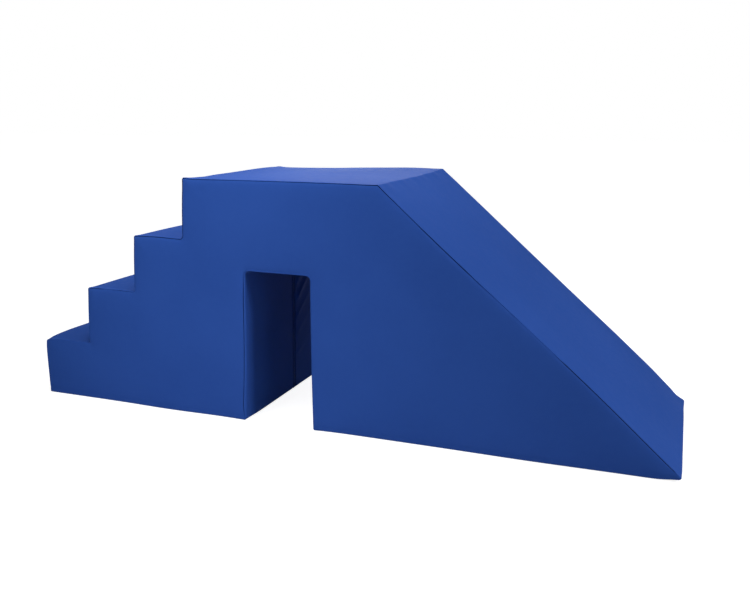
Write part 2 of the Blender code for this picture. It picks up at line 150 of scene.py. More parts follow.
# The cloth, and the foam: how far inside the cover it stands, and where it ends at the toe
FABRIC = 0.0006
FOAM_INSET = 0.0068
FOAM_TOE = 1.078
OUTLINE_STEP = 0.004

# Softened edges: how wide, and the least angle in degrees
FOAM_SOFTENING = (0.0025, 50)
METAL_SOFTENING = (0.00018, 40)

# A side panel's flat size and its area
SIDE_FLAT = (2.20, 0.80)
SIDE_AREA = 1.06

SIDES = (("near", -1), ("far", 1))


def wrap(angle):
    """An angle between minus and plus half a turn."""
    return (angle + math.pi) % (2 * math.pi) - math.pi


def build_segments():
    """Arcs and straights of the outline in turn, each with its length, and each corner's seam."""
    points = np.array([corner[:2] for corner in CORNERS])
    along = np.roll(points, -1, axis=0) - points
    along /= np.linalg.norm(along, axis=1)[:, None]
    normals = np.stack([-along[:, 1], along[:, 0]], axis=1)
    arcs = []
    for index, (x, z, radius) in enumerate(CORNERS):
        before, after = normals[index - 1], normals[index]
        diagonal = (before + after) / (1.0 + before @ after)
        start = math.atan2(before[1], before[0])
        turn = wrap(math.atan2(after[1], after[0]) - start)
        signed = radius if turn < 0 else -radius
        arcs.append((points[index] - diagonal * signed, signed, start, turn))
    segments = []
    seams = []
    walked = 0.0
    for index, (centre, signed, start, turn) in enumerate(arcs):
        length = abs(signed * turn)
        segments.append(("arc", index, walked, length, arcs[index]))
        seams.append(walked + length / 2)
        walked += length
        end_normal = np.array([math.cos(start + turn), math.sin(start + turn)])
        first = centre + end_normal * signed
        following = arcs[(index + 1) % len(arcs)]
        last = following[0] + end_normal * following[1]
        length = np.linalg.norm(last - first)
        segments.append(("straight", index, walked, length, (first, last, end_normal)))
        walked += length
    return segments, seams, walked


SEGMENTS, SEAMS, TOTAL = build_segments()
BASE_START = SEAMS[TOE_BOTTOM]
BASE_END = TOTAL + SEAMS[FOOT]


def keys_by_seam(places):
    """Values at distances past corners' middles, as rows of distance along the outline and value."""
    keys = []
    for corner, rows in places.items():
        keys += [((SEAMS[corner] + past) % TOTAL, value) for past, value in rows]
    return sorted(keys)


# The long edges' radius
RADIUS_KEYS = keys_by_seam({
    FOOT: [(-0.02, BASE_EDGE_RADIUS), (0.02, STRIP_EDGE_RADIUS)],
    TOE_TOP: [(-0.05, STRIP_EDGE_RADIUS), (-0.01, BASE_EDGE_RADIUS)],
    TUNNEL_RIGHT: [(-0.02, BASE_EDGE_RADIUS), (0.02, RIGHT_JAMB_RADIUS)],
    TUNNEL_TOP_RIGHT: [(-0.05, RIGHT_JAMB_RADIUS), (0.04, TUNNEL_TOP_RADIUS)],
    TUNNEL_TOP_LEFT: [(-0.04, TUNNEL_TOP_RADIUS), (0.08, LEFT_JAMB_RADIUS)],
    TUNNEL_LEFT: [
        (-0.30, LEFT_JAMB_RADIUS), (-0.05, LEFT_JAMB_LOW_RADIUS), (-0.012, LEFT_JAMB_FOOT_RADIUS),
        (0.03, BASE_EDGE_RADIUS),
    ],
})

# Where the long seams lie on the rounded edge: 0 is on the side panel, 90 on the strips
ANGLE_KEYS = keys_by_seam({
    FOOT: [(-0.02, BASE_SEAM_ANGLE), (0.02, 60.0)],
    NOSING_1: [(0.0, 60.0)],
    NOSING_2: [(0.01, 66.0), (0.18, 52.0)],
    NOSING_3: [(0.01, 62.0), (0.18, 48.0)],
    NOSING_4: [(0.02, 52.0), (0.30, 58.0), (0.55, 74.0)],
    CREST: [(0.05, 46.0), (0.20, 34.0), (0.42, 40.0), (0.60, 76.0)],
    TOE_TOP: [(-0.05, 80.0)],
    TUNNEL_RIGHT: [(-0.03, BASE_SEAM_ANGLE), (0.03, JAMB_SEAM_ANGLE)],
    TUNNEL_LEFT: [(-0.03, JAMB_SEAM_ANGLE), (0.03, BASE_SEAM_ANGLE)],
})

# How open the long seams are, from 0, drawn flush, to 1, a deep groove that also gets painted shade
OPEN_KEYS = keys_by_seam({
    FOOT: [(0.0, 0.5)],
    NOSING_1: [(0.004, 0.06), (0.17, 0.06)],
    NOSING_2: [
        (-0.03, 0.5), (0.01, 0.75), (0.055, 0.95), (0.086, 0.25), (0.105, 0.30), (0.135, 0.75),
        (0.17, 0.70),
    ],
    NOSING_3: [(0.0, 0.95), (0.17, 0.90)],
    NOSING_4: [(0.01, 1.0), (0.20, 0.72), (0.45, 0.85)],
    CREST: [(0.0, 1.0), (0.12, 0.80), (0.36, 1.0), (0.48, 0.30), (0.68, 0.22), (0.76, 1.0)],
    TOE_TOP: [(-0.03, 1.0), (-0.008, 0.2)],
    TOE_BOTTOM: [(0.03, 0.6)],
    TUNNEL_RIGHT: [(-0.02, 0.6), (0.02, 0.10)],
    TUNNEL_TOP_RIGHT: [(0.0, 0.10)],
    TUNNEL_TOP_LEFT: [(0.0, 0.30), (0.06, 0.70)],
    TUNNEL_LEFT: [(-0.02, 0.62), (0.02, 0.6)],
})

# How much the side panels are drawn in along the long seams
DRAWN_KEYS = keys_by_seam({
    FOOT: [(-0.02, 0.3)],
    NOSING_1: [(0.0, 0.2), (0.18, 0.15)],
    NOSING_2: [(-0.03, 0.8)],
    NOSING_4: [(-0.01, 1.0), (0.02, 0.8)],
    CREST: [(0.0, 1.0)],
    TOE_TOP: [(-0.02, 1.0)],
    TOE_BOTTOM: [(0.03, 0.5)],
    TUNNEL_RIGHT: [(-0.02, 0.5), (0.03, 0.12)],
    TUNNEL_TOP_RIGHT: [(-0.04, 0.12), (0.04, 0.80)],
    TUNNEL_TOP_LEFT: [(-0.04, 0.80), (0.04, 0.12)],
    TUNNEL_LEFT: [(-0.03, 0.12), (0.02, 0.5)],
})

# The zip: tapes, coils, stitches and end tabs. The tapes meet, but for the sliders' runway
TAPE_END = 0.020
TAPE_THICKNESS = 0.0006
TAPE_DEPTH = 0.0023
TAPE_ROWS = [(away, TAPE_DEPTH) for away in (0.0009, 0.0030, 0.0055, 0.0085, 0.0120, 0.0165, 0.0210)]
TAPE_MEETING = 0.00002
CHAIN_END = 0.0358
COIL_PITCH = 0.0017
COIL_STEPS = 8
COIL_INNER = -0.0002
COIL_INNER_OPEN = 0.0012
COIL_OUTER = 0.0047
COIL_DEPTH = 0.00115
COIL_SWING = 0.00060
COIL_RADIUS = 0.00040
ROUND_SIDES = 5
STITCH_Y = 0.0158
STITCH_PITCH = 0.0040
STITCH_LENGTH = 0.0033
STITCH_MARGIN = 0.012
STITCH_RADIUS = 0.00028
STITCH_SHARES = [0.0, 0.12, 0.35, 0.65, 0.88, 1.0]
STITCH_DEPTHS = [0.0007, 0.0001, -0.00012, -0.00012, 0.0001, 0.0007]
BASE_STRETCHES = [
    ("slide", BASE_START + TAPE_END, SEAMS[TUNNEL_RIGHT]),
    ("tunnel", SEAMS[TUNNEL_RIGHT], SEAMS[TUNNEL_LEFT]),
    ("stairs", SEAMS[TUNNEL_LEFT], BASE_END - TAPE_END),
]
TAB_END = 0.030
TAB_REACH = 0.0116
TAB_INSET = 0.0002
TAB_CURL = 0.0005
TAB_ROWS = 15

# The sliders' runway, where the zip is parted: its ends' heights, and the wall it is on
RUNWAY_FOOT = (0.03, 0.05)
RUNWAY_TOP = (0.475, 0.49)
RIGHT_WALL_PAST = -0.1


def outline_at(distance):
    """Points and outward normals of the outline, and how far each lies along a crowned straight.

    The last value is 0 at a straight's ends and 1 in its middle, and stays 0 on arcs and on the
    stretches that aren't crowned.
    """
    wrapped = np.mod(distance, TOTAL)
    points = np.zeros((len(wrapped), 2))
    normals = np.zeros((len(wrapped), 2))
    bulge = np.zeros(len(wrapped))
    for kind, index, start, length, shape in SEGMENTS:
        inside = (wrapped >= start) & (wrapped <= start + length)
        share = (wrapped[inside] - start) / max(length, 1e-9)
        if kind == "arc":
            centre, signed, angle, turn = shape
            turned = angle + turn * share
            normal = np.stack([np.cos(turned), np.sin(turned)], axis=1)
            points[inside] = centre + normal * signed
            normals[inside] = normal
        else:
            first, last, normal = shape
            points[inside] = first + (last - first) * share[:, None]
            normals[inside] = normal
            if index <= LAST_CROWNED:
                bulge[inside] = 4.0 * share * (1.0 - share)
    return points, normals, bulge


def smooth_step(value, low, high):
    """0 below low, 1 above high, and a smooth rise between them."""
    share = np.clip((value - low) / (high - low), 0.0, 1.0)
    return share * share * (3.0 - 2.0 * share)


def keyed(distance, keys):
    """A value that runs evenly from key to key along the closed outline."""
    places = [key[0] for key in keys]
    values = [key[1] for key in keys]
    return np.interp(np.mod(distance, TOTAL), places, values, period=TOTAL)


def rim_section(walked, radius, inset):
    """Distance from the middle plane and depth under the strips, round the long edge.

    Walked is 0 where the strip's plane meets the rounding, negative on the strip and positive on
    the rounding and the side panel. Inset goes straight in from the surface.
    """
    angle = np.clip(math.pi / 2 - walked / radius, 0.0, math.pi / 2)
    on_strip = np.minimum(walked, 0.0)
    on_side = np.maximum(walked - radius * math.pi / 2, 0.0)
    across = WIDTH / 2 - radius + (radius - inset) * np.cos(angle) + on_strip
    depth = radius - (radius - inset) * np.sin(angle) + on_side
    return across, depth


def ripple(distance, seed):
    """Uneven gathers along a seam, between 0 and 1."""
    value = np.zeros(len(distance))
    for wave, (length, share) in enumerate(RIPPLES):
        drift = 0.8 * np.sin(distance * 2 * math.pi / (length * 6.7) + seed * 1.7 + wave)
        value += share * np.sin(distance * 2 * math.pi / length + drift + seed * 2.3 + 4.1 * wave)
    strength = 0.55 + 0.45 * np.sin(distance * 2 * math.pi / 0.29 + seed)
    return 0.5 + 0.5 * value * strength


def groove_depths(openness, columns):
    """How far the rows beside a long seam turn down, along the seam, with the other columns at 0."""
    depths = np.zeros((len(openness), columns))
    nearest, farthest = WALLS[0][0], WALLS[-1][0]
    for column, (away, depth) in enumerate(WALLS):
        narrowing = CLOSING * (away - nearest) / (farthest - nearest)
        depths[:, column] = depth * openness**narrowing
    return depths


def sinking(from_seam, gathers, pillow, openness):
    """How far the fabric sinks in near a seam."""
    lip = LIP_DEPTH * openness * np.exp(-from_seam / LIP_REACH)
    drawn = pillow * np.exp(-from_seam / PILLOW_REACH)
    return lip + drawn + GATHER_DEPTH * gathers * np.exp(-from_seam / GATHER_REACH)


# Soft pushes on the whole cover: place, push and reach. None goes down this close to the floor
FLOOR_REACH = 0.012
PUSHES = [
    ((-0.484, -0.356, 0.801), (-0.0008, -0.0010, 0.0036), (0.016, 0.02, 0.014)),
    ((-0.484, 0.358, 0.801), (-0.0020, 0.0010, -0.0040), 0.018),
    ((-0.484, 0.318, 0.801), (0.0, 0.0, 0.0034), (0.02, 0.016, 0.02)),
    ((-0.42, 0.354, 0.800), (0.0, 0.0, -0.0062), (0.085, 0.045, 0.05)),
    ((-0.26, 0.354, 0.800), (0.0, 0.0, -0.0036), (0.080, 0.045, 0.05)),
    ((0.09, 0.354, 0.800), (0.0, 0.0, 0.0052), (0.090, 0.12, 0.05)),
    ((-0.484, -0.235, 0.801), (0.0, 0.0, -0.0018), 0.030),
    ((-0.484, 0.160, 0.801), (-0.0004, 0.0, 0.0026), (0.05, 0.12, 0.04)),
    ((0.192, -0.356, 0.801), (0.0004, -0.0010, 0.0010), 0.014),
    ((0.197, 0.356, 0.801), (-0.0050, 0.0005, 0.0020), (0.024, 0.09, 0.03)),
    ((0.40, -0.361, 0.620), (-0.0016, 0.0, -0.0018), (0.13, 0.08, 0.12)),
    ((0.86, -0.361, 0.222), (0.0023, 0.0, 0.0027), (0.17, 0.12, 0.15)),
    ((0.62, 0.356, 0.43), (-0.0022, 0.0, -0.0026), (0.26, 0.10, 0.24)),
    ((0.95, 0.356, 0.130), (-0.0010, 0.0, -0.0013), (0.08, 0.08, 0.08)),
    ((1.085, 0.356, 0.026), (-0.0052, 0.0, -0.0078), (0.065, 0.07, 0.07)),
    ((1.082, 0.356, 0.028), (-0.0006, 0.0, -0.0018), (0.014, 0.05, 0.03)),
    ((1.055, 0.356, 0.052), (0.0008, 0.0, 0.0010), (0.020, 0.05, 0.03)),
    ((1.101, 0.350, 0.008), (0.0054, 0.0006, 0.0012), (0.016, 0.05, 0.02)),
    ((1.100, -0.360, 0.000), (-0.0040, 0.0028, 0.0058), (0.030, 0.03, 0.007)),
    ((-1.101, -0.060, 0.200), (-0.0040, 0.0, 0.0085), (0.10, 0.20, 0.06)),
    ((-1.101, -0.255, 0.200), (-0.0010, 0.0, 0.0038), (0.06, 0.075, 0.05)),
    ((-1.101, 0.250, 0.200), (-0.0030, 0.0, 0.0070), (0.08, 0.14, 0.06)),
    ((-0.893, -0.10, 0.405), (-0.0012, 0.0, 0.0036), (0.08, 0.22, 0.06)),
    ((-0.688, -0.12, 0.602), (-0.0008, 0.0, 0.0030), (0.08, 0.18, 0.06)),
    ((-1.101, -0.356, 0.198), (0.0010, 0.0010, -0.0036), 0.016),
    ((-0.52, -0.361, 0.604), (0.0, 0.0, -0.0026), (0.05, 0.07, 0.014)),
    ((-0.905, -0.361, 0.208), (0.0014, 0.0018, -0.0008), 0.008),
    ((-0.893, -0.356, 0.404), (-0.0004, -0.0008, 0.0016), 0.012),
    ((-0.687, -0.356, 0.601), (-0.0004, -0.0008, 0.0014), 0.012),
    ((-0.57, -0.361, 0.0), (0.0, -0.0060, 0.0), (0.11, 0.05, 0.07)),
    ((0.70, -0.361, 0.0), (0.0, -0.0045, 0.0), (0.15, 0.05, 0.07)),
    ((-0.275, -0.361, 0.0), (-0.0050, -0.0032, 0.0), (0.06, 0.045, 0.10)),
    ((-0.275, 0.361, 0.0), (-0.0105, 0.0, 0.0), (0.06, 0.035, 0.15)),
    ((-0.034, -0.361, 0.0), (0.0048, -0.0044, 0.0), (0.05, 0.05, 0.09)),
]


def push_about(points, hold=1.0):
    """Points moved by the soft pushes, less where they are held, and never down into the floor."""
    moved = points.copy()
    for place, push, reach in PUSHES:
        away = (points - np.array(place)) / np.array(reach)
        weight = hold * np.exp(-(away**2).sum(axis=1) / 2)
        moved += weight[:, None] * np.array(push)
    sunk = np.minimum(moved[:, 2] - points[:, 2], 0.0)
    moved[:, 2] -= sunk * (1.0 - smooth_step(points[:, 2], 0.0, FLOOR_REACH))
    return moved


def lumps(points, scale, seed):
    """Smooth noise at points, between about -1 and 1, with lumps about one scale wide."""
    shift = Vector((seed * 13.7, seed * 5.3, seed * 9.1))
    values = [noise.noise(Vector(point) / scale + shift) for point in points]
    return np.array(values)


def unevenness(points, waves, seed):
    """Broad and fine lumps together."""
    (broad, broad_width), (fine, fine_width) = waves
    return broad * lumps(points, broad_width, seed) + fine * lumps(points, fine_width, seed + 3)


def crest_fold(y):
    """The waves of the soft fold along the crest."""
    return np.sin(y * 2 * math.pi / 0.17 + 0.6) + 0.6 * np.sin(y * 2 * math.pi / 0.071 + 2.0)


def section_at(along):
    """The outline, its long edge's radius, and how far round that edge the seam lies."""
    radius = keyed(along, RADIUS_KEYS)
    seam = radius * np.radians(90.0 - keyed(along, ANGLE_KEYS))
    return *outline_at(along), radius, seam


def raised(points, normals, out, y):
    """Places in space: outline points moved out along their normals, at y from the middle plane."""
    if out.ndim == 2:
        points, normals = points[:, None], normals[:, None]
    x, z = (points[..., axis] + normals[..., axis] * out for axis in range(2))
    return np.stack([x, np.broadcast_to(y, x.shape), z], axis=-1)


def outward(normals, columns):
    """The outline's normals in space, for every point of a grid."""
    in_space = np.stack([normals[:, 0], 0 * normals[:, 0], normals[:, 1]], axis=1)
    return np.repeat(in_space, columns, axis=0)


def grid_gathers(along, across, by_long_seam, seed):
    """Gathers of a grid's points, along whichever seam is nearer."""
    by_cross_seam = ripple(across.ravel(), seed + 5).reshape(across.shape)
    return np.where(by_long_seam, ripple(along, seed)[:, None], by_cross_seam)


def sewing_map(along, across):
    """A grid's UV map, in metres along and across the panel."""
    return np.stack([np.broadcast_to(along[:, None], across.shape), across], axis=-1).reshape(-1, 2)


def inner_shares(length):
    """Even shares of a length, about a grid's step apart, without its ends."""
    steps = round(length / ACROSS)
    return np.arange(1, steps) / steps


def flip(faces):
    """Faces turned to look the other way."""
    return [face[::-1] for face in faces]


def make_mesh(name, points, faces, uvs, painted_shade_distance=None):
    """A smooth-shaded object from arrays, with its UV map and its distance from the seams, which places
    the painted seam shade.
    """
    if painted_shade_distance is None:
        painted_shade_distance = np.ones(len(points))
    mesh = bpy.data.meshes.new(name)
    mesh.from_pydata(points.tolist(), [], faces)
    mesh.shade_smooth()
    layer = mesh.uv_layers.new(name="sewing")
    corners = np.zeros(len(mesh.loops), np.int32)
    mesh.loops.foreach_get("vertex_index", corners)
    layer.data.foreach_set("uv", uvs[corners].astype(np.float32).ravel())
    attribute = mesh.attributes.new("from_seam", "FLOAT", "POINT")
    attribute.data.foreach_set("value", painted_shade_distance.astype(np.float32))
    mesh.update()
    item = bpy.data.objects.new(name, mesh)
    bpy.context.scene.collection.objects.link(item)
    return item


def grid_faces(rows, columns):
    """Quads of a grid whose points are stored row by row."""
    faces = []
    for row in range(rows - 1):
        start = row * columns
        for column in range(columns - 1):
            first = start + column
            faces.append((first, first + columns, first + columns + 1, first + 1))
    return faces


def steps_in(kind, length):
    """How many steps a grid takes along an arc or a straight."""
    return ARC_STEPS if kind == "arc" else max(1, round(length / ALONG))


def inner_distances(start, end):
    """Distances between two places on the outline, close together on the arcs."""
    values = []
    for kind, index, from_start, length, shape in SEGMENTS:
        steps = steps_in(kind, length)
        for lap in (0.0, TOTAL):
            values += [from_start + lap + length * step / steps for step in range(steps + 1)]
    kept = [start]
    for value in sorted(values):
        if value - kept[-1] > ALONG_LEAST and value < end - ALONG_LEAST:
            kept.append(value)
    return kept + [end]


def distances_between(start, end):
    """Distances along a panel from seam to seam, and how far the fabric turns down at each."""
    rows = [(start + away, depth) for away, depth in WALLS]
    rows += [(start + away, 0.0) for away in LIP_ROWS[:-1]]
    rows += [(value, 0.0) for value in inner_distances(start + EDGE_REACH, end - EDGE_REACH)]
    rows += [(end - away, 0.0) for away in reversed(LIP_ROWS[:-1])]
    rows += [(end - away, depth) for away, depth in reversed(WALLS)]
    return np.array(rows).T


def thin_toe(x):
    """How much of the seams' depth fits into the body, which is thin at the toe."""
    return 1.0 - TOE_THINNING * smooth_step(x, *TOE_THINS)


def strip_panel(name, start, end, seed):
    """A strip of the cover from one long seam to the other."""
    along, wall_along = distances_between(start, end)
    points, normals, bulge, radius, seam = section_at(along)
    full = 2.0 * (WIDTH / 2 - radius + seam)[:, None]
    near = np.tile(EDGE_ROWS, (len(along), 1))
    middle = EDGE_REACH + inner_shares(WIDTH - 2 * EDGE_REACH) * (full - 2 * EDGE_REACH)
    across = np.concatenate([near, middle, full - near[:, ::-1]], axis=1)
    columns = across.shape[1]

    from_long = np.minimum(across, full - across)
    from_cross = np.minimum(along - start, end - along)[:, None]
    from_seam = np.minimum(from_long, from_cross)
    gathers = grid_gathers(along, across, from_long < from_cross, seed)
    openness = keyed(along, OPEN_KEYS)
    groove = groove_depths(openness, columns)
    openness = openness[:, None]
    walls = np.maximum(wall_along[:, None], groove + groove[:, ::-1])
    fit = thin_toe(points[:, 0])[:, None]
    inset = (sinking(from_seam, gathers, STRIP_PILLOW, openness) + walls) * fit
    y_away, depth = rim_section(seam[:, None] - from_long, radius[:, None], inset)
    y = np.where(across < full / 2, -1.0, 1.0) * y_away
    crown_share = 1.0 - (2.0 * np.abs(y) / WIDTH) ** 4
    crown = (EDGE_CROWN + (MIDDLE_CROWN - EDGE_CROWN) * crown_share) * bulge[:, None]

    flat = raised(points, normals, crown - depth, y).reshape(-1, 3)
    calm = np.minimum(from_seam / CALM_REACH, 1.0).ravel()
    amount = unevenness(flat, STRIP_LUMPS, seed) * calm * np.repeat(fit[:, 0], columns)
    near_crest = np.exp(-((np.repeat(along, columns) - SEAMS[CREST]) / CREST_WAVE_REACH) ** 2)
    flat[:, 0] += CREST_WAVE * crest_fold(flat[:, 1]) * near_crest * calm
    flat += outward(normals, columns) * amount[:, None]
    # The distance that places the painted seam shade, pushed off where the seam is drawn flush
    seam_shade_distance = np.minimum(from_long + (1.0 - openness) * SEAM_SHADE_FADE, from_cross)
    faces = grid_faces(len(along), columns)
    return make_mesh(name, push_about(flat), faces, sewing_map(along, across), seam_shade_distance.ravel())


# Creases beyond the zip: where each starts, how steeply it climbs, its length and height. They are on
# the far half of the tunnel's left wall, and rise from nothing over the floor and beside the zip
LEFT_WALL_WITHIN = -0.2
CREASES_OVER_FLOOR = (0.02, 0.06)
CREASE_RISE = 0.02
CREASE_FADING = 1.6
CREASE_HALF_WIDTH = 0.009
CREASES = [
    (0.014, 0.445, 0.75, 0.16, 0.0078),
    (0.014, 0.395, 0.80, 0.15, 0.0070),
    (0.014, 0.335, 0.76, 0.18, 0.0084),
    (0.014, 0.270, 0.68, 0.16, 0.0060),
    (0.014, 0.205, 0.56, 0.14, 0.0044),
    (0.014, 0.125, 0.45, 0.13, 0.0028),
]


def creases(points):
    """Drag creases that run off the zip on the tunnel's left wall, as ridges and dips."""
    height = np.zeros(len(points))
    for y, z, slope, length, amount in CREASES:
        along = (points[:, 1] - y) / length
        middle = z + slope * (points[:, 1] - y)
        profile = np.exp(-((points[:, 2] - middle) / CREASE_HALF_WIDTH) ** 2)
        fade = np.where(along > 0, np.exp(-along * CREASE_FADING), 0.0)
        fade = fade * smooth_step(along * length, 0.0, CREASE_RISE)
        height += amount * profile * fade
    return height


def half_panel(name, start, end, side, seed):
    """Half of a base panel or of the tunnel's liner, from its long seam to the zip."""
    along, wall_along = distances_between(start, end)
    points, normals, bulge, radius, seam = section_at(along)
    full = (WIDTH / 2 - radius + seam - HEM_START)[:, None]
    shares = inner_shares(WIDTH / 2 - HEM_START - EDGE_REACH)
    edge = np.tile(EDGE_ROWS, (len(along), 1))
    middle = EDGE_REACH + shares * (full - EDGE_REACH)
    hem_away, hem_depth = np.array(HEM_ROWS).T
    across = np.concatenate([edge, middle, full + HEM_START - hem_away], axis=1)
    hem_inset = np.concatenate([np.zeros(len(EDGE_ROWS) + len(shares)), hem_depth])
    columns = across.shape[1]

    from_cross = np.minimum(along - start, end - along)[:, None]
    from_seam = np.minimum(across, from_cross)
    gathers = grid_gathers(along, across, across < from_cross, seed)
    openness = keyed(along, OPEN_KEYS)
    walls = np.maximum(wall_along[:, None], groove_depths(openness, columns))
    openness = openness[:, None]
    fit = thin_toe(points[:, 0])[:, None]
    by_zip = smooth_step(full + HEM_START - across, *HEM_STIFF)
    sunk = sinking(from_seam, gathers, STRIP_PILLOW, openness)
    cross_sunk = np.minimum(sunk, LIP_DEPTH * np.exp(-from_cross / LIP_REACH))
    sunk = cross_sunk + (sunk - cross_sunk) * by_zip
    inset = (sunk + walls) * fit + hem_inset
    y_away, depth = rim_section(seam[:, None] - across, radius[:, None], inset)

    flat = raised(points, normals, -depth, side * y_away).reshape(-1, 3)
    calm = (by_zip * np.minimum(from_seam / CALM_REACH, 1.0)).ravel()
    in_tunnel = smooth_step(points[:, 1], 0.0, LINER_RISE)
    amount = unevenness(flat, HALF_LUMPS, seed) * calm * np.repeat(in_tunnel, columns)
    if side > 0:
        on_left_wall = flat[:, 0] < LEFT_WALL_WITHIN
        amount += creases(flat) * on_left_wall * smooth_step(flat[:, 2], *CREASES_OVER_FLOOR)
    flat += outward(normals, columns) * amount[:, None]
    # The distance that places the painted seam shade, pushed off where the seam is drawn flush
    seam_shade_distance = np.minimum(across + (1.0 - openness) * SEAM_SHADE_FADE, from_cross)
    # The fold's rows are painted fully dark, a painted shadow along the turned-in edge
    seam_shade_distance[:, hem_inset > HEM_SHADE_DEPTH] = 0.0
    faces = grid_faces(len(along), columns)
    faces = flip(faces) if side > 0 else faces
    moved = push_about(flat, by_zip.ravel())
    return make_mesh(name, moved, faces, sewing_map(along, across), seam_shade_distance.ravel())


# Rings of points inside a side panel's rim: how deep, and every how many of the rim's points. They
# keep clear of the rim by a share of their depth, the even rows inside them by a distance, and no
# two points are nearer than the closest
FIELD_RINGS = [(0.0028, 1), (0.0060, 1), (0.0100, 2), (0.0150, 2), (0.021, 3)]
RING_CLEARANCE = 0.8
LATTICE_INSET = 0.006
LATTICE_CLEARANCE = 0.026
CLOSEST = 0.0026


def offset_outline(along, depth):
    """The outline moved in by depths, which may be more than its corners' radii."""
    points, normals, bulge = outline_at(along)
    return points - normals * depth[:, None]


def inside_outline(points, polygon):
    """Whether points lie inside a polygon."""
    x, z = points[:, 0], points[:, 1]
    found = np.zeros(len(points), bool)
    following = np.roll(polygon, -1, axis=0)
    for (ax, az), (bx, bz) in zip(polygon, following):
        crosses = (az > z) != (bz > z)
        if abs(bz - az) > 1e-12:
            found ^= crosses & (x < (bx - ax) * (z - az) / (bz - az) + ax)
    return found


def nearest_on(points, polygon):
    """The distance of points from a closed polygon's edges, and the index of the nearest edge."""
    following = np.roll(polygon, -1, axis=0)
    edge = following - polygon
    length = np.maximum((edge**2).sum(axis=1), 1e-18)
    best = np.full(len(points), 9.0)
    index = np.zeros(len(points), int)
    for number in range(len(polygon)):
        away = points - polygon[number]
        share = np.clip(away @ edge[number] / length[number], 0.0, 1.0)
        distance = np.linalg.norm(away - share[:, None] * edge[number], axis=1)
        closer = distance < best
        best[closer] = distance[closer]
        index[closer] = number
    return best, index


def loop_distances():
    """Distances round the whole outline for a side panel's rim."""
    values = []
    for kind, index, start, length, shape in SEGMENTS:
        steps = steps_in(kind, length)
        values += [start + length * step / steps for step in range(steps)]
    return np.array(values)


# Small creases on the side panels: middle, direction in degrees, half length, half width and height
SIDE_CREASES = [
    (-0.412, 0.766, 52.0, 0.018, 0.0040, -0.0013),
    (-0.400, 0.772, 60.0, 0.014, 0.0035, 0.0009),
    (-0.428, 0.742, 40.0, 0.022, 0.0060, 0.0007),
    (0.230, 0.690, 130.0, 0.030, 0.0070, -0.0006),
    (-0.880, 0.255, 75.0, 0.020, 0.0050, -0.0007),
]


def side_creases(points):
    """Short creases and dents in a side panel."""
    height = np.zeros(len(points))
    for x, z, direction, length, width, amount in SIDE_CREASES:
        turn = math.radians(direction)
        along = (points[:, 0] - x) * math.cos(turn) + (points[:, 2] - z) * math.sin(turn)
        across = -(points[:, 0] - x) * math.sin(turn) + (points[:, 2] - z) * math.cos(turn)
        height += amount * np.exp(-((along / length) ** 2) - (across / width) ** 2)
    return height


def thin_out(points):
    """Points without those that lie too close to an earlier one."""
    cells = {}
    kept = []
    for point in points:
        cell = (int(point[0] // CLOSEST), int(point[1] // CLOSEST))
        around = [(cell[0] + dx, cell[1] + dy) for dx in (-1, 0, 1) for dy in (-1, 0, 1)]
        others = [other for key in around for other in cells.get(key, [])]
        if not any(np.hypot(*(point - other)) < CLOSEST for other in others):
            cells.setdefault(cell, []).append(point)
            kept.append(point)
    return np.array(kept)


def fill_border(border, along, radius):
    """Points and triangles inside a side panel's rim, and which of the rim's points each point is."""
    candidates = []
    for depth, every in FIELD_RINGS:
        ring = offset_outline(along[::every], radius[::every] + depth)
        distance, _ = nearest_on(ring, border)
        candidates.append(ring[distance > RING_CLEARANCE * depth])
    low, high = border.min(axis=0), border.max(axis=0)
    xs, zs = (np.arange(low[axis] + LATTICE_INSET, high[axis], ACROSS) for axis in range(2))
    grid_x, grid_z = np.meshgrid(xs, zs)
    grid_x = grid_x + 0.5 * ACROSS * (np.arange(len(zs)) % 2)[:, None]
    lattice = np.stack([grid_x.ravel(), grid_z.ravel()], axis=1)
    distance, _ = nearest_on(lattice, border[::2])
    candidates = np.concatenate(candidates + [lattice[distance > LATTICE_CLEARANCE]])
    inner = thin_out(candidates[inside_outline(candidates, border)])
    places = [Vector(point) for point in [*border, *inner]]
    edges = [(index, (index + 1) % len(border)) for index in range(len(border))]
    result = delaunay_2d_cdt(places, edges, [], 1, 1e-6)
    return np.array([[point.x, point.y] for point in result[0]]), result[2], result[3]


# Rows round a side panel's rim, as shares of the way from the seam to the flat field
RIM_SHARES = [0.12, 0.25, 0.4, 0.55, 0.7, 0.85, 1.0]
RIM_LEAST = 0.0005


